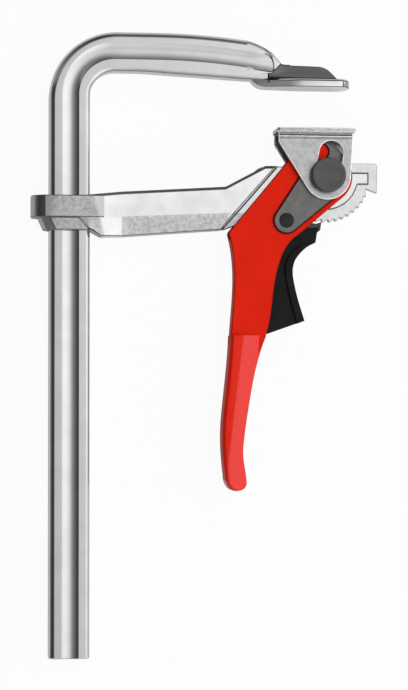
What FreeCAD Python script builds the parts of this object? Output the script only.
import FreeCAD, Part
import math
import os

# Lever clamp lying on its side, millimetres.
# X runs out along the throat, Y up along the rail towards the fixed jaw, Z up from the table.
# The origin is on the fixed jaw's clamping face; the clamp is symmetric about Z = 0.

Vector = FreeCAD.Vector

# Throat and rail
THROAT = 119.3
RAIL_WIDTH = 21.0
RAIL_THICKNESS = 10.5
RAIL_END_Y = -296.9
RAIL_EDGE_RADIUS = 2.6
RAIL_INNER_X = -THROAT
RAIL_OUTER_X = RAIL_INNER_X - RAIL_WIDTH
RAIL_MIDDLE_X = RAIL_INNER_X - RAIL_WIDTH / 2
GROOVE_WIDTH = 8.8
GROOVE_DEPTH = 1.0

# Bend at the top of the rail: the inner and outer arcs have their own centres,
# because the outside of the bend is drawn thinner
INNER_BEND_RADIUS = 13.0
INNER_BEND_Y = -6.0
OUTER_BEND_RADIUS = 36.0
OUTER_BEND_Y = -8.2

# Fixed jaw
ANVIL_HALF_WIDTH = 9.5
ANVIL_EDGE_HEIGHT = 4.3
ANVIL_RIGHT_X = 17.3
RIDGE_FOOT_HALF = 6.6
RIDGE_TOP_HALF = 2.2
RIDGE_TOP_Y = 12.1
ARM_END_CENTRE = (-36.2, 9.7)
ARM_END_RADIUS = 11.6

# The sliding half is drawn with its pad 20.5 below the anvil, then slid down the rail by this much
SLIDE_OUT = 0.9

# Pivot pin and the layers that it carries, measured out from the middle plane
PIVOT_X = 4.6
PIVOT_Y = -45.6
PIN_RADIUS = 5.0
TONGUE_HALF = 3.0
SEGMENT_HALF = 2.25
CHEEK_INSIDE = 3.3
CHEEK_OUTSIDE = 5.3
CAM_INSIDE = 4.6
CAM_OUTSIDE = 6.6
PLATE_INSIDE = 6.9
PLATE_OUTSIDE = 9.3
WASHER_INSIDE = 9.4
HEAD_INSIDE = 10.0
HEAD_OUTSIDE = 15.0
HEAD_RADIUS = 9.05
RUNNING_FIT = 0.08

# Sliding arm
COLLAR_LEFT_X = -149.6
COLLAR_TOP_Y = -57.0
COLLAR_STEP_Y = -68.4
COLLAR_BOTTOM_Y = -74.9
COLLAR_HALF = 10.5
COLLAR_NOSE_RADIUS = 7.5
SLOT_PLAY = 0.3
TONGUE_END_RADIUS = 17.2
TONGUE_TOP_RADIUS = 12.5
TAB_RIGHT_X = 27.2
TAB_TOP_Y = -43.5
TAB_BOTTOM_Y = -49.3
TAB_PLAY = 0.22

# Ratchet: seven teeth make the lever's full swing of 60 degrees
LEVER_SWING = 60.0
TOOTH_PITCH = LEVER_SWING / 7
TOOTH_CREST_RADIUS = 23.9
TOOTH_ROOT_RADIUS = 22.6
NOSE_ANGLE = -96.0
NOSE_RADIUS = 24.05

# Pressure plate: it climbs 6.2 mm along its slots as the lever closes
PLATE_TOP_Y = -20.5
FLANGE_THICKNESS = 2.4
FLANGE_LEFT_X = -21.6
FLANGE_RIGHT_X = 19.6
FLANGE_HALF = 10.0
SLOT_ANGLE = 10.0
SLOT_LENGTH = 12.2
SLOT_RADIUS = 6.3
BUSH_RADIUS = 6.2
PLATE_ROUND_RADIUS = 12.5
PLATE_LIFT = 6.2
PLATE_TILT = 5.0
SADDLE_RADIUS = 20.6
SADDLE_FROM = 62.0
SADDLE_TO = 112.0

# Lever
LEVER_HEAD_RADIUS = 14.0
LEVER_SHOULDER_RADIUS = 20.5
LEVER_SHEET = CHEEK_OUTSIDE - CHEEK_INSIDE
RIVET_X = -16.5
RIVET_Y = -69.0
RIVET_RADIUS = 2.5
SPACER_RADIUS = 3.5
CAM_FOOT_RADIUS = 6.6
CAM_NECK_RADIUS = 11.45
CAM_GAP = 0.3
CAM_START_ANGLE = 52.0
CAM_START_RADIUS = 14.2
SLEEVE_HALF = 7.5
SLEEVE_TOP_Y = -129.0
TRIGGER_HALF = 3.0
TRIGGER_PAD_HALF = 5.0
PAWL_HALF = 2.0

# Trigger spring: angles at which its legs leave the coil
SPRING_WIRE = 0.85
SPRING_RADIUS = 4.35
SPRING_TURNS = 3
SPRING_LOW = 0.35
SPRING_LEVER_LEG = -49.6
SPRING_TRIGGER_LEG = 186.0


def polar(radius, degrees, x=PIVOT_X, y=PIVOT_Y):
    """Point at a radius and an angle from a centre, by default the pivot."""
    angle = math.radians(degrees)
    return (x + radius * math.cos(angle), y + radius * math.sin(angle))


def flat(point, z=0.0):
    """Vector of a point on the side view."""
    return Vector(point[0], point[1], z)


def outline(start, *steps):
    """Face on the side view; a step is a point, ("arc", middle, end) or ("curve", points...)."""
    edges = []
    here = flat(start)
    for step in steps:
        if step[0] == "arc":
            middle, end = flat(step[1]), flat(step[2])
            edges.append(Part.Arc(here, middle, end).toShape())
        elif step[0] == "curve":
            through = [here] + [flat(point) for point in step[1:]]
            spline = Part.BSplineCurve()
            spline.interpolate(through)
            edges.append(spline.toShape())
            end = through[-1]
        else:
            end = flat(step)
            edges.append(Part.makeLine(here, end))
        here = end
    if here.distanceToPoint(flat(start)) > 1e-6:
        edges.append(Part.makeLine(here, flat(start)))
    return Part.Face(Part.Wire(edges))


def slab(face, low, high):
    """A side-view face given its thickness between two heights."""
    raised = face.copy()
    raised.translate(Vector(0, 0, low))
    return raised.extrude(Vector(0, 0, high - low))


def disc(centre, radius, low, high):
    """Round bar standing on the side view."""
    return Part.makeCylinder(radius, high - low, flat(centre, low), Vector(0, 0, 1))


def ring(centre, outer, inner, low, high):
    """Tube standing on the side view."""
    return disc(centre, outer, low, high).cut(disc(centre, inner, low - 1, high + 1))


def mirrored(shape):
    """The same shape on the other side of the middle plane."""
    return shape.mirror(Vector(0, 0, 0), Vector(0, 0, 1))


def both_sides(shape):
    """A shape and its mirror image, joined."""
    return shape.fuse(mirrored(shape))


def belt(first, first_radius, second, second_radius):
    """Outline of a belt drawn tight round two circles."""
    along = math.atan2(second[1] - first[1], second[0] - first[0])
    span = math.hypot(second[0] - first[0], second[1] - first[1])
    lean = math.acos((first_radius - second_radius) / span)
    left, right = math.degrees(along + lean), math.degrees(along - lean)
    middle = math.degrees(along)
    a1 = polar(first_radius, left, *first)
    a2 = polar(first_radius, right, *first)
    b1 = polar(second_radius, left, *second)
    b2 = polar(second_radius, right, *second)
    far_first = polar(first_radius, middle + 180, *first)
    far_second = polar(second_radius, middle, *second)
    return outline(a1, ("arc", far_first, a2), b2, ("arc", far_second, b1), a1)


def cross_section(x, corners):
    """Closed wire at one X, its corners given as (y, z) above the middle plane and mirrored below."""
    upper = [Vector(x, y, z) for y, z in corners]
    lower = [Vector(x, y, -z) for y, z in reversed(corners)]
    return Part.makePolygon(upper + lower + [upper[0]])


def plan(corners):
    """Face in the plan view, X and Z, mirrored about the middle plane, at Y = 0."""
    upper = [Vector(x, 0, z) for x, z in corners]
    lower = [Vector(x, 0, -z) for x, z in reversed(corners)]
    return Part.Face(Part.makePolygon(upper + lower + [upper[0]]))


PIVOT = (PIVOT_X, PIVOT_Y)
RIVET = (RIVET_X, RIVET_Y)


def cam_spiral(grow):
    """Points of the cam's edge: where the saddle's corner passes over it as the lever opens."""
    corner = polar(SADDLE_RADIUS, SADDLE_TO, 0, 0)
    points = [polar(CAM_START_RADIUS + grow, CAM_START_ANGLE)]
    for swing in (60, 45, 30, 15, 0):
        sink = PLATE_LIFT * swing / LEVER_SWING
        x = corner[0] - sink * math.sin(math.radians(SLOT_ANGLE))
        y = corner[1] - sink * math.cos(math.radians(SLOT_ANGLE))
        angle = math.degrees(math.atan2(y, x)) - swing + PLATE_TILT
        points.append(polar(math.hypot(x, y) - CAM_GAP + grow, angle))
    return points


# Frame: rail, bend, fixed arm and anvil in one piece

def droop(start, radius, end_x):
    """Middle and end of a large arc that starts level at a point and sinks towards the jaw."""
    points = []
    for x in ((start[0] + end_x) / 2, end_x):
        run = x - start[0]
        points.append((x, start[1] - radius + math.sqrt(radius ** 2 - run ** 2)))
    return points


def rail_and_arm_outline():
    """Side view of the rail, its bend and the arm down to the anvil."""
    outer_x = RAIL_OUTER_X + OUTER_BEND_RADIUS
    inner_x = RAIL_INNER_X + INNER_BEND_RADIUS
    top_y = OUTER_BEND_Y + OUTER_BEND_RADIUS
    under_y = INNER_BEND_Y + INNER_BEND_RADIUS
    top_start = (-85.0, top_y)
    under_start = (-98.0, under_y)
    top_middle, top_end = droop(top_start, 365.0, -37.5)
    under_middle, under_end = droop(under_start, 172.0, -88.0)
    return outline(
        (RAIL_OUTER_X, RAIL_END_Y),
        (RAIL_OUTER_X, OUTER_BEND_Y),
        ("arc", polar(OUTER_BEND_RADIUS, 135, outer_x, OUTER_BEND_Y), (outer_x, top_y)),
        top_start,
        ("arc", top_middle, top_end),
        ("arc", (-27.4, 20.7), (-18.4, 12.6)),
        (-14.0, 12.0),
        (-14.0, 2.5),
        (-33.0, 3.51),
        under_end,
        ("arc", under_middle, under_start),
        (inner_x, under_y),
        ("arc", polar(INNER_BEND_RADIUS, 135, inner_x, INNER_BEND_Y), (RAIL_INNER_X, INNER_BEND_Y)),
        (RAIL_INNER_X, RAIL_END_Y),
    )


def groove_cutter():
    """Round bar bent along the middle of the rail and arm, that leaves a shallow hollow."""
    radius = (GROOVE_WIDTH ** 2 / 4 + GROOVE_DEPTH ** 2) / (2 * GROOVE_DEPTH)
    height = RAIL_THICKNESS / 2 - GROOVE_DEPTH + radius
    bend_radius = 23.6
    bend_y = -6.0
    bend_x = RAIL_MIDDLE_X + bend_radius
    start = flat((RAIL_MIDDLE_X, RAIL_END_Y - 5), height)
    bend_start = flat((RAIL_MIDDLE_X, bend_y), height)
    bend_middle = flat(polar(bend_radius, 135, bend_x, bend_y), height)
    bend_end = flat((bend_x, bend_y + bend_radius), height)
    level_end = (-86.0, bend_y + bend_radius)
    droop_middle, droop_end = droop(level_end, 360.0, -18.0)
    path = Part.Wire([
        Part.makeLine(start, bend_start),
        Part.Arc(bend_start, bend_middle, bend_end).toShape(),
        Part.makeLine(bend_end, flat(level_end, height)),
        Part.Arc(flat(level_end, height), flat(droop_middle, height), flat(droop_end, height)).toShape(),
    ])
    profile = Part.Wire(Part.makeCircle(radius, start, Vector(0, 1, 0)))
    return path.makePipeShell([profile], True, False)


def flare_cutter():
    """Turned cutter round the arm's end: rounds the flat face over and slopes down to the ridge."""
    r = ARM_END_RADIUS
    top = RAIL_THICKNESS / 2
    rim = [Vector(r, 0, top), Vector(r + 1.0, 0, top - 0.3), Vector(r + 1.8, 0, top - 1.05)]
    arc = Part.Arc(*rim).toShape()
    rest = Part.makePolygon([rim[2], Vector(r + 5.9, 0, 1.9), Vector(r + 20, 0, 1.9), Vector(r + 20, 0, 12),
                             Vector(r, 0, 12), rim[0]])
    face = Part.Face(Part.Wire([arc] + rest.Edges))
    face.rotate(Vector(0, 0, 0), Vector(0, 0, 1), -50)
    cutter = face.revolve(Vector(0, 0, 0), Vector(0, 0, 1), 124)
    cutter.translate(flat(ARM_END_CENTRE))
    return cutter


def anvil():
    """Clamping plate of the fixed jaw with the roof-shaped ridge that stiffens it."""
    half = ANVIL_HALF_WIDTH
    right = ANVIL_RIGHT_X
    corners = [(-35.6, 2.4), (-34.2, 4.2), (-31.0, 5.2), (-15.0, 8.7), (-11.5, 9.3), (-8.0, half),
               (right - 7.0, half), (right - 4.2, 8.9), (right - 1.9, 7.1), (right - 0.5, 4.8), (right, 2.4)]
    plate = plan(corners).extrude(Vector(0, ANVIL_EDGE_HEIGHT, 0))
    rims = [edge for edge in plate.Edges if abs(edge.BoundBox.YMin - ANVIL_EDGE_HEIGHT) < 1e-6]
    plate = plate.makeChamfer(1.0, rims)
    heel = slab(outline((-36.5, -1.0), (-36.5, 5.5), (-35.2, 5.2), ("arc", (-32.5, 1.6), (-27.5, -0.01)),
                        (-27.5, -1.0)), -12, 12)
    plate = plate.cut(heel)
    ridge = slab(outline((-26.0, 2.5), (-26.0, 12.7), (-19.0, RIDGE_TOP_Y), (1.2, 11.5),
                         ("arc", (4.9, 10.3), (7.4, 8.0)), (11.4, 3.1)), -8, 8)
    roof = Part.Face(cross_section(-40.0, [(2.0, RIDGE_FOOT_HALF), (4.7, RIDGE_FOOT_HALF),
                                          (RIDGE_TOP_Y, RIDGE_TOP_HALF), (16.0, RIDGE_TOP_HALF)]))
    ridge = ridge.common(roof.extrude(Vector(70, 0, 0)))
    return plate.fuse(ridge)


def rail_and_fixed_arm():
    """The clamp's frame: grooved rail bent over into the arm, with the forged anvil at its end."""
    half = RAIL_THICKNESS / 2
    body = slab(rail_and_arm_outline(), -half, half)
    long_edges = []
    for edge in body.Edges:
        box = edge.BoundBox
        in_face = box.ZLength < 1e-6
        at_rail_end = box.YLength < 1e-6 and box.YMin < RAIL_END_Y + 1
        in_anvil = box.XMin > -33.5 and box.YMax < 15
        if in_face and not at_rail_end and not in_anvil:
            long_edges.append(edge)
    body = body.makeFillet(RAIL_EDGE_RADIUS, long_edges)
    groove = groove_cutter()
    body = body.cut(groove).cut(mirrored(groove))
    flare = flare_cutter()
    body = body.cut(flare).cut(mirrored(flare))
    return body.fuse(anvil()).removeSplitter()


# Sliding arm

def collar():
    """Collar round the rail: a deep upper band, and a lower band that is set back and slants in."""
    half = COLLAR_HALF
    nose = COLLAR_NOSE_RADIUS
    right = -112.0
    band = Part.makeBox(right - COLLAR_LEFT_X, COLLAR_TOP_Y - COLLAR_STEP_Y, 2 * half,
                        Vector(COLLAR_LEFT_X, COLLAR_STEP_Y, -half))
    ends = [edge for edge in band.Edges
            if edge.BoundBox.XMax < COLLAR_LEFT_X + 1e-6 and edge.BoundBox.YLength > 1]
    band = band.makeFillet(nose, ends)
    low_half = half - 1.2
    wires = []
    for y, left, short in ((COLLAR_STEP_Y + 1, COLLAR_LEFT_X + 3.0, 0.0), (COLLAR_BOTTOM_Y, -143.2, 0.6)):
        corners = [(left, low_half - 6.2 - short), (left + 1.9, low_half - 2.4 - short),
                   (left + 6.2, low_half - short), (right - 4.0, low_half - short)]
        points = [Vector(x, y, z) for x, z in corners] + [Vector(x, y, -z) for x, z in reversed(corners)]
        wires.append(Part.makePolygon(points + [points[0]]))
    lower = Part.makeLoft(wires, True, True)
    return band.fuse(lower)


def arm_body():
    """Tapering cast arm: flat faces above, a facet that slants back below, bevelled ends."""
    sections = [
        cross_section(-127.2, [(-57.2, 9.2), (-58.4, 10.4), (-65.6, 10.4), (-66.0, 10.0)]),
        cross_section(-119.8, [(-56.7, 9.2), (-57.9, 10.4), (-66.6, 10.4), (-74.2, 9.4)]),
        cross_section(-113.4, [(-56.0, 9.2), (-57.2, 10.4), (-67.2, 10.4), (-77.9, 7.8)]),
        cross_section(-102.5, [(-54.8, 7.4), (-56.0, 8.6), (-68.8, 8.6), (-77.8, 5.8)]),
        cross_section(-48.6, [(-51.7, 7.2), (-52.9, 8.4), (-66.4, 8.4), (-73.8, 5.8)]),
        cross_section(-27.6, [(-40.5, 5.8), (-41.7, 7.0), (-60.0, 7.0), (-66.0, 5.0)]),
        cross_section(-14.0, [(-40.4, 5.0), (-41.6, 6.2), (-56.0, 6.2), (-60.0, 4.4)]),
    ]
    return Part.makeLoft(sections, True, True)


def shoulder_cutter():
    """Wedge that takes the arm down to the tongue along a slanted, bevelled shoulder."""
    top = Vector(-22.6, -40.4, 8.6)
    bottom = Vector(-51.6, -73.6, 8.6)
    along = (bottom - top).normalize()
    out = Vector(along.y, -along.x, 0) * -1
    if out.x < 0:
        out = out * -1
    foot = 1.4
    drop = 8.6 - TONGUE_HALF
    profile = [top - along * 30 - out * 0.5 + Vector(0, 0, 2.0),
               top - along * 30 + out * foot + Vector(0, 0, -drop),
               top - along * 30 + out * 90 + Vector(0, 0, -drop),
               top - along * 30 + out * 90 + Vector(0, 0, 2.0)]
    face = Part.Face(Part.makePolygon(profile + [profile[0]]))
    return face.extrude(along * 110)


def tongue():
    """Thin end of the arm: it passes between the lever's cheeks and holds the pin."""
    left_top = (-30.0, -41.6)
    top_left = polar(TONGUE_TOP_RADIUS, 155)
    right_top = (14.0, TAB_TOP_Y)
    lift = math.sqrt(TONGUE_TOP_RADIUS ** 2 - (14.0 - PIVOT_X) ** 2)
    tab_meet = (PIVOT_X + math.sqrt(TONGUE_END_RADIUS ** 2 - (PIVOT_Y - TAB_BOTTOM_Y) ** 2), TAB_BOTTOM_Y)
    face = outline(
        left_top,
        (-18.0, -40.4),
        top_left,
        ("arc", polar(TONGUE_TOP_RADIUS, 95), (14.0, PIVOT_Y + lift)),
        right_top,
        (TAB_RIGHT_X, TAB_TOP_Y),
        (TAB_RIGHT_X, TAB_BOTTOM_Y),
        tab_meet,
        ("arc", polar(TONGUE_END_RADIUS, -55), polar(TONGUE_END_RADIUS, -112)),
        (-13.0, -60.6),
        (-23.0, -60.6),
        (-43.0, -69.3),
        (-50.0, -69.6),
        (-52.0, -72.0),
    )
    return slab(face, -TONGUE_HALF, TONGUE_HALF)


def sliding_arm():
    """Sliding arm in one casting: collar, arm and tongue, with the rail slot and the pin's bore."""
    body = arm_body()
    wedge = shoulder_cutter()
    body = body.cut(wedge).cut(mirrored(wedge))
    body = body.fuse(collar()).fuse(tongue())
    play = SLOT_PLAY
    slot = Part.makeBox(RAIL_WIDTH + 2 * play, 40, RAIL_THICKNESS + 2 * play,
                        Vector(RAIL_OUTER_X - play, COLLAR_BOTTOM_Y - 10, -RAIL_THICKNESS / 2 - play))
    bore = disc(PIVOT, PIN_RADIUS, -20, 20)
    return body.cut(slot).cut(bore).removeSplitter()


def toothed_segment():
    """Ratchet segment: fine saw teeth about the pivot, and a head that hooks over the tongue's tab."""
    inner = TONGUE_END_RADIUS + 0.05
    first_gullet = NOSE_ANGLE - TOOTH_PITCH
    teeth = []
    for tooth in range(10):
        angle = first_gullet + tooth * TOOTH_PITCH
        teeth.append(polar(TOOTH_CREST_RADIUS, angle - 5.2))
        teeth.append(polar(TOOTH_ROOT_RADIUS, angle))
        teeth.append(polar(TOOTH_ROOT_RADIUS, angle + 1.3))
        teeth.append(polar(TOOTH_CREST_RADIUS, angle + 1.7))
    low_y = TAB_BOTTOM_Y - TAB_PLAY
    meet = (PIVOT_X + math.sqrt(inner ** 2 - (PIVOT_Y - low_y) ** 2), low_y)
    steps = teeth[1:] + [
        (25.9, -51.6), (31.9, -54.0), (32.3, -39.6), (31.2, -38.4), (14.1, -38.4),
        (14.1, TAB_TOP_Y + TAB_PLAY), (TAB_RIGHT_X + TAB_PLAY, TAB_TOP_Y + TAB_PLAY),
        (TAB_RIGHT_X + TAB_PLAY, low_y), meet,
        ("arc", polar(inner, -55), polar(inner, first_gullet - 5.2)),
    ]
    return slab(outline(teeth[0], *steps), -SEGMENT_HALF, SEGMENT_HALF)


def pin_head(sign):
    """Flat round head with a softened rim, on the front (1) or the rear (-1)."""
    head = disc(PIVOT, HEAD_RADIUS, HEAD_INSIDE, HEAD_OUTSIDE)
    rims = [edge for edge in head.Edges if abs(edge.BoundBox.ZMin - HEAD_OUTSIDE) < 1e-6]
    head = head.makeFillet(0.7, rims)
    return head if sign > 0 else mirrored(head)


def pivot_pin():
    """Headed pin, its shank reaching right through to the riveted head at the rear."""
    return pin_head(1).fuse(disc(PIVOT, PIN_RADIUS, -HEAD_OUTSIDE + 1.0, HEAD_INSIDE + 0.5)).removeSplitter()


def pin_rear_head():
    """Rear head, riveted on the end of the pin."""
    return pin_head(-1).cut(disc(PIVOT, PIN_RADIUS, -HEAD_OUTSIDE + 1.0, 0))


def pin_washers():
    """Two thin washers between the heads and the pressure plate's cheeks."""
    washer = ring(PIVOT, 8.0, PIN_RADIUS + 0.02, WASHER_INSIDE, HEAD_INSIDE)
    return Part.makeCompound([washer, mirrored(washer)])


def slot_bush():
    """Bush that turns on the pin and runs in a slot of the pressure plate."""
    return ring(PIVOT, BUSH_RADIUS, PIN_RADIUS + RUNNING_FIT, CAM_OUTSIDE + 0.15, WASHER_INSIDE - 0.05)


# Lever

def lever_outline():
    """Side view of a cheek: cam head, long straight shoulder, kink and tapering handle."""
    shoulder = 139.9
    edge = 50.6
    return outline(
        polar(LEVER_SHOULDER_RADIUS, shoulder),
        (-45.6, -73.9),
        ("arc", (-46.5, -75.5), (-46.3, -77.3)),
        ("curve", (-44.3, -88.8), (-43.8, -98.0), (-44.3, -112.0), (-45.5, -127.0),
         (-46.8, -150.0), (-48.4, -172.0), (-48.4, -184.0), (-47.4, -200.0)),
        (-40.2, -200.0),
        ("curve", (-40.8, -188.0), (-38.0, -166.0), (-32.9, -142.0), (-27.3, -129.0),
         (-23.4, -107.4), (-20.0, -90.7), (-16.6, -83.0), (-10.3, -76.5)),
        polar(LEVER_HEAD_RADIUS, -edge),
        ("arc", polar(LEVER_HEAD_RADIUS, 0), polar(LEVER_HEAD_RADIUS, 45)),
        ("curve", *cam_spiral(-0.6)[1:]),
        ("arc", polar(LEVER_SHOULDER_RADIUS - 0.4, 130), polar(LEVER_SHOULDER_RADIUS, shoulder)),
    )


def lever_hollow():
    """Space between the cheeks: all but the back, which starts below the kink."""
    sheet = LEVER_SHEET
    return outline(
        (-60.0, -70.0),
        (-60.0, -78.6),
        (-44.6 + sheet, -78.6),
        ("curve", (-42.3, -88.8), (-41.8, -98.0), (-42.3, -112.0), (-43.5, -127.0),
         (-44.8, -150.0), (-46.4, -172.0), (-46.4, -184.0), (-45.6, -198.0)),
        (-10.0, -198.0),
        (40.0, -70.0),
        (40.0, 0.0),
        (-60.0, 0.0),
    )


def cam_outline(grow=0.0):
    """Side view of a cam plate: a link from the rivet to the pivot with the spiral cam on top."""
    link = belt(RIVET, CAM_FOOT_RADIUS + grow, PIVOT, CAM_NECK_RADIUS + grow)
    top = SADDLE_TO + PLATE_TILT
    highest = SADDLE_RADIUS - CAM_GAP + grow
    lobe = outline(polar(CAM_NECK_RADIUS + grow, 20), ("curve", *cam_spiral(grow)),
                   ("arc", polar(highest - 1.2, top + 7), polar(CAM_NECK_RADIUS + grow + 1.0, top + 17)),
                   polar(CAM_NECK_RADIUS + grow, 160), PIVOT)
    return link, lobe


def cam_slab(low, high, grow=0.0):
    """A cam plate's two fields given their thickness and joined."""
    link, lobe = cam_outline(grow)
    return slab(link, low, high).fuse(slab(lobe, low, high)).removeSplitter()


BOSS = (PIVOT_X - 3.1, PIVOT_Y + 12.8)
BOSS_RADIUS = 4.3


def lever_channel():
    """Pressed lever: two cheeks joined by a back, recessed for the cam plates, with locating bosses."""
    body = slab(lever_outline(), -CHEEK_OUTSIDE, CHEEK_OUTSIDE)
    body = body.cut(slab(lever_hollow(), -CHEEK_INSIDE, CHEEK_INSIDE))
    pocket = cam_slab(CAM_INSIDE, CAM_OUTSIDE + 2, 0.25)
    body = body.cut(pocket).cut(mirrored(pocket))
    boss = disc(BOSS, BOSS_RADIUS, CAM_INSIDE - 0.5, CAM_OUTSIDE - 0.8)
    body = body.fuse(boss).fuse(mirrored(boss))
    body = body.cut(disc(PIVOT, PIN_RADIUS + RUNNING_FIT, -9, 9))
    return body.cut(disc(RIVET, RIVET_RADIUS, -9, 9)).removeSplitter()


def cam_plate():
    """Hardened cam plate on the front cheek, with the spiral edge that lifts the saddle."""
    body = cam_slab(CAM_INSIDE, CAM_OUTSIDE)
    body = body.cut(disc(BOSS, BOSS_RADIUS + 0.05, 0, 9))
    body = body.cut(disc(PIVOT, PIN_RADIUS + RUNNING_FIT, 0, 9))
    return body.cut(disc(RIVET, RIVET_RADIUS, 0, 9))


def cam_rivet():
    """Rivet with low round heads, through both cam plates, the cheeks and the spacer."""
    head = disc(RIVET, 3.9, CAM_OUTSIDE, CAM_OUTSIDE + 0.7)
    rims = [edge for edge in head.Edges if abs(edge.BoundBox.ZMin - CAM_OUTSIDE - 0.7) < 1e-6]
    head = head.makeChamfer(0.4, rims)
    return both_sides(head).fuse(disc(RIVET, RIVET_RADIUS, -CAM_OUTSIDE, CAM_OUTSIDE)).removeSplitter()


def spacer_tube():
    """Tube on the rivet that keeps the cheeks apart; the pawl turns on it."""
    return ring(RIVET, SPACER_RADIUS, RIVET_RADIUS, -CHEEK_INSIDE, CHEEK_INSIDE)


def grip_sleeve():
    """Moulded grip pushed over the lever's end, with a long facet on each side."""
    face = outline(
        (-45.9, SLEEVE_TOP_Y),
        ("curve", (-46.9, -144.0), (-48.6, -160.6), (-50.2, -180.9), (-49.9, -191.0), (-48.8, -202.1)),
        ("curve", (-47.9, -206.6), (-45.8, -209.3), (-42.6, -210.0), (-39.0, -208.9), (-37.4, -206.2)),
        ("curve", (-38.1, -200.1), (-39.3, -191.0), (-38.9, -184.0), (-36.2, -165.0),
         (-33.5, -150.2), (-29.9, -137.0), (-26.9, SLEEVE_TOP_Y)),
    )
    body = slab(face, -SLEEVE_HALF, SLEEVE_HALF)
    rims = [edge for edge in body.Edges
            if edge.BoundBox.ZLength < 1e-6 and edge.BoundBox.YMax < SLEEVE_TOP_Y + 1
            and not (edge.BoundBox.YLength < 1e-6)]
    body = body.makeChamfer(1.6, rims)
    facet_top = Vector(-38.2, SLEEVE_TOP_Y + 2, SLEEVE_HALF)
    facet_side = Vector(-26.0, SLEEVE_TOP_Y + 2, 4.0)
    facet_low = Vector(-43.5, -196.0, SLEEVE_HALF)
    normal = (facet_side - facet_top).cross(facet_low - facet_top).normalize()
    if normal.z < 0:
        normal = normal * -1
    along = (facet_low - facet_top).normalize()
    side = along.cross(normal)
    corners = [facet_top + along * a + side * b for a, b in ((-20, -40), (110, -40), (110, 40), (-20, 40))]
    wedge = Part.Face(Part.makePolygon(corners + [corners[0]])).extrude(normal * 20)
    body = body.cut(wedge).cut(mirrored(wedge))
    channel = slab(lever_outline(), -CHEEK_OUTSIDE, CHEEK_OUTSIDE)
    opening = outline((-46.0, -120.0), (-20.0, -120.0), (-25.8, -129.5), (-33.0, -142.0),
                      (-38.0, -166.0), (-40.6, -184.0), (-40.2, -200.0), (-46.4, -199.0), (-46.4, -184.0))
    body = body.cut(channel)
    return body.cut(slab(opening, -CHEEK_INSIDE, CHEEK_INSIDE)).removeSplitter()


def pawl():
    """Steel pawl: hub on the spacer, a nose that drops between the teeth and a tail in the trigger."""
    nose_right = polar(NOSE_RADIUS, NOSE_ANGLE + 1.0)
    nose_left = polar(NOSE_RADIUS, NOSE_ANGLE - 0.2)
    clear = TOOTH_CREST_RADIUS + 1.3
    plate = slab(outline(
        nose_right,
        (polar(clear + 3.0, NOSE_ANGLE + 0.6)),
        (-4.0, -78.0),
        (-8.0, -82.4),
        (-12.4, -82.4),
        (-15.0, -74.4),
        (-21.6, -71.0),
        ("arc", (-21.9, -66.6), (-17.6, -63.6)),
        polar(clear, -124),
        ("arc", polar(clear, -115), polar(clear, NOSE_ANGLE - 5.4)),
        nose_left,
    ), -PAWL_HALF, PAWL_HALF)
    spring_room = outline((-40.0, -60.0), (-40.0, -84.0), (-12.4, -78.0), (-14.4, -72.0), (-17.5, -60.0))
    plate = plate.cut(disc(RIVET, 5.2, 0.1, 5)).cut(slab(spring_room, 0.1, 5))
    hub = disc(RIVET, 5.4, -TRIGGER_HALF - 0.1, 0.1)
    body = plate.fuse(hub).cut(disc(RIVET, SPACER_RADIUS + RUNNING_FIT, -9, 9))
    return body.cut(disc(TRIGGER_PIN, 1.5, -9, 9)).removeSplitter()


TRIGGER_PIN = (-10.4, -79.0)


def trigger():
    """Moulded trigger: thin web between the cheeks, hollow finger face, slot for the pawl's tail."""
    finger = [(-5.3, -82.6), (-9.5, -86.4), (-12.2, -90.6), (-13.1, -95.6), (-12.4, -101.5),
              (-10.4, -110.0), (-6.9, -121.4)]
    body = slab(outline(
        (1.2, -72.2),
        (0.2, -74.2),
        (-0.7, -80.2),
        ("curve", *finger),
        (-28.6, -129.0),
        ("curve", (-26.0, -112.0), (-23.6, -97.0), (-20.6, -86.0), (-18.2, -77.6)),
        (-13.4, -75.6),
        (-9.0, -74.2),
        (-5.6, -72.6),
    ), -TRIGGER_HALF, TRIGGER_HALF)
    pad = slab(outline(
        (-1.9, -80.9),
        ("curve", *finger),
        (-10.6, -122.8),
        ("curve", (-13.8, -111.0), (-15.9, -101.5), (-16.6, -95.4), (-15.6, -89.4),
         (-12.0, -84.6), (-7.4, -81.4)),
    ), -TRIGGER_PAD_HALF, TRIGGER_PAD_HALF)
    body = body.fuse(pad)
    tail = outline((4.0, -68.0), (4.0, -74.0), (-3.4, -78.2), (-7.6, -83.0), (-13.2, -83.0),
                   (-16.0, -74.0), (-16.0, -68.0))
    body = body.cut(slab(tail, -PAWL_HALF - 0.02, PAWL_HALF + 0.02))
    relief = outline((-30.0, -70.0), (-27.0, -84.0), (-18.6, -79.6), (-13.4, -75.6), (-9.5, -70.0))
    leg_room = outline((-30.0, -70.0), (-25.0, -88.4), (-14.4, -87.0), (-12.9, -76.0), (-9.5, -70.0))
    body = body.cut(slab(relief, 0.2, 5)).cut(slab(leg_room, 0.2, 1.5))
    return body.cut(disc(TRIGGER_PIN, 1.5, -9, 9)).removeSplitter()


def trigger_pin():
    """Straight pin through the trigger and the pawl's tail."""
    return disc(TRIGGER_PIN, 1.5, -TRIGGER_HALF, TRIGGER_HALF)


def spring_leg(height, angle, start, length):
    """Straight square wire along the coil's tangent at an angle, from a start before or after it."""
    bar = Part.makeBox(SPRING_WIRE, length, SPRING_WIRE, Vector(SPRING_RADIUS - SPRING_WIRE / 2, start, 0))
    bar.rotate(Vector(0, 0, 0), Vector(0, 0, 1), angle)
    bar.translate(flat(RIVET, height))
    return bar


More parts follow.
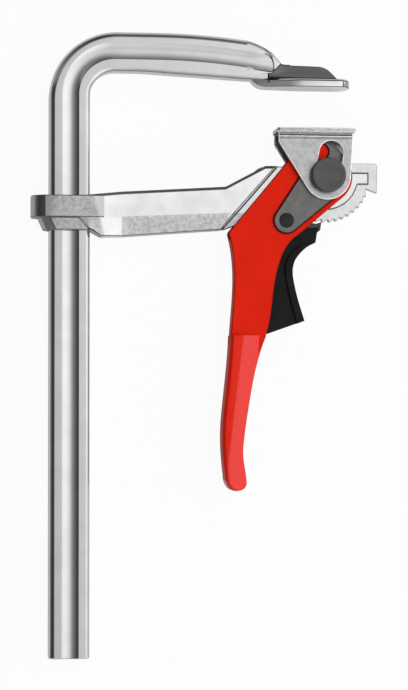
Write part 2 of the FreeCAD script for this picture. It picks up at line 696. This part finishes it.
def trigger_spring():
    """Close-wound spring of square wire beside the pawl's hub, with a leg on the lever's back."""
    inner = SPRING_RADIUS - SPRING_WIRE / 2
    outer = SPRING_RADIUS + SPRING_WIRE / 2
    edge = [(inner, 0.0)]
    for turn in range(SPRING_TURNS):
        foot = turn * SPRING_WIRE
        edge += [(outer - 0.15, foot), (outer, foot + 0.15), (outer, foot + SPRING_WIRE - 0.15),
                 (outer - 0.15, foot + SPRING_WIRE)]
    edge.append((inner, SPRING_TURNS * SPRING_WIRE))
    edge = [point for i, point in enumerate(edge) if point != edge[i - 1]]
    wire = Part.makePolygon([Vector(r, 0, z) for r, z in edge + [edge[0]]])
    coil = Part.Face(wire).revolve(Vector(0, 0, 0), Vector(0, 0, 1), 360)
    coil.translate(flat(RIVET, SPRING_LOW))
    top = SPRING_LOW + (SPRING_TURNS - 1) * SPRING_WIRE
    to_lever = spring_leg(top, SPRING_LEVER_LEG, -36.0, 36.0)
    to_trigger = spring_leg(SPRING_LOW, SPRING_TRIGGER_LEG, 0.0, 16.0)
    return coil.fuse(to_lever).fuse(to_trigger).removeSplitter()


# Pressure plate

def plate_cheek():
    """Front cheek: triangular, round at the bottom, with the inclined slot for the bush."""
    left_x = FLANGE_LEFT_X + 0.6
    right_x = FLANGE_RIGHT_X - 1.2
    under = PLATE_TOP_Y - FLANGE_THICKNESS
    corner = (left_x, -28.0)
    span = math.hypot(corner[0] - PIVOT_X, corner[1] - PIVOT_Y)
    toward = math.degrees(math.atan2(corner[1] - PIVOT_Y, corner[0] - PIVOT_X))
    touch_left = toward + math.degrees(math.acos(PLATE_ROUND_RADIUS / span))
    corner_right = (right_x, under)
    span = math.hypot(corner_right[0] - PIVOT_X, corner_right[1] - PIVOT_Y)
    toward = math.degrees(math.atan2(corner_right[1] - PIVOT_Y, corner_right[0] - PIVOT_X))
    touch_right = toward - math.degrees(math.acos(PLATE_ROUND_RADIUS / span))
    face = outline(
        (left_x, under + 0.4),
        corner,
        polar(PLATE_ROUND_RADIUS, touch_left),
        ("arc", polar(PLATE_ROUND_RADIUS, -90), polar(PLATE_ROUND_RADIUS, touch_right)),
        corner_right,
        (right_x, under + 0.4),
    )
    cheek = slab(face, PLATE_INSIDE, PLATE_OUTSIDE)
    slot_top = polar(SLOT_LENGTH, 90 - SLOT_ANGLE)
    slot = slab(belt(PIVOT, SLOT_RADIUS, slot_top, SLOT_RADIUS + 1e-4), 0, 20)
    groove = Part.makeCylinder(1.0, 60, Vector(-30, under - 1.0, PLATE_OUTSIDE + 0.3), Vector(1, 0, 0))
    return cheek.cut(slot).cut(groove)


def pressure_plate():
    """Pressed zinc-plated plate: flat pad with two cheeks that hang down beside the lever."""
    flange = Part.makeBox(FLANGE_RIGHT_X - FLANGE_LEFT_X, FLANGE_THICKNESS, 2 * FLANGE_HALF,
                          Vector(FLANGE_LEFT_X, PLATE_TOP_Y - FLANGE_THICKNESS, -FLANGE_HALF))
    corners = [edge for edge in flange.Edges if edge.BoundBox.YLength > 1]
    flange = flange.makeFillet(1.2, corners)
    return flange.fuse(both_sides(plate_cheek())).removeSplitter()


def rocker_saddle():
    """Thrust block between the cheeks, hollowed to a radius about the pivot."""
    under = PLATE_TOP_Y - FLANGE_THICKNESS
    left = polar(SADDLE_RADIUS, SADDLE_TO)
    right = polar(SADDLE_RADIUS, SADDLE_FROM)
    middle = polar(SADDLE_RADIUS, (SADDLE_FROM + SADDLE_TO) / 2)
    face = outline(left, ("arc", middle, right), (right[0] + 1.6, right[1]), (right[0] + 1.6, under),
                   (left[0] - 1.6, under), (left[0] - 1.6, left[1]))
    return slab(face, -PLATE_INSIDE, PLATE_INSIDE)


PIECES = {
    "rail_and_fixed_arm": rail_and_fixed_arm,
    "sliding_arm": sliding_arm,
    "toothed_segment": toothed_segment,
    "pivot_pin": pivot_pin,
    "pin_rear_head": pin_rear_head,
    "pin_washers": pin_washers,
    "slot_bush_front": slot_bush,
    "slot_bush_rear": lambda: mirrored(slot_bush()),
    "lever_channel": lever_channel,
    "grip_sleeve": grip_sleeve,
    "cam_plate_front": cam_plate,
    "cam_plate_rear": lambda: mirrored(cam_plate()),
    "cam_rivet": cam_rivet,
    "spacer_tube": spacer_tube,
    "pawl": pawl,
    "trigger": trigger,
    "trigger_pin": trigger_pin,
    "trigger_spring": trigger_spring,
    "pressure_plate": pressure_plate,
    "rocker_saddle": rocker_saddle,
}

os.makedirs("parts", exist_ok=True)
for name, make in PIECES.items():
    shape = make()
    if name != "rail_and_fixed_arm":
        shape.translate(Vector(0, -SLIDE_OUT, 0))
    shape.exportStep(f"parts/{name}.step")
    box = shape.BoundBox
    print(f"{name}: {len(shape.Solids)} solid(s), valid {shape.isValid()}, {shape.Volume / 1000:.2f} cm3, "
          f"X {box.XMin:.1f} {box.XMax:.1f}, Y {box.YMin:.1f} {box.YMax:.1f}, Z {box.ZMin:.1f} {box.ZMax:.1f}")
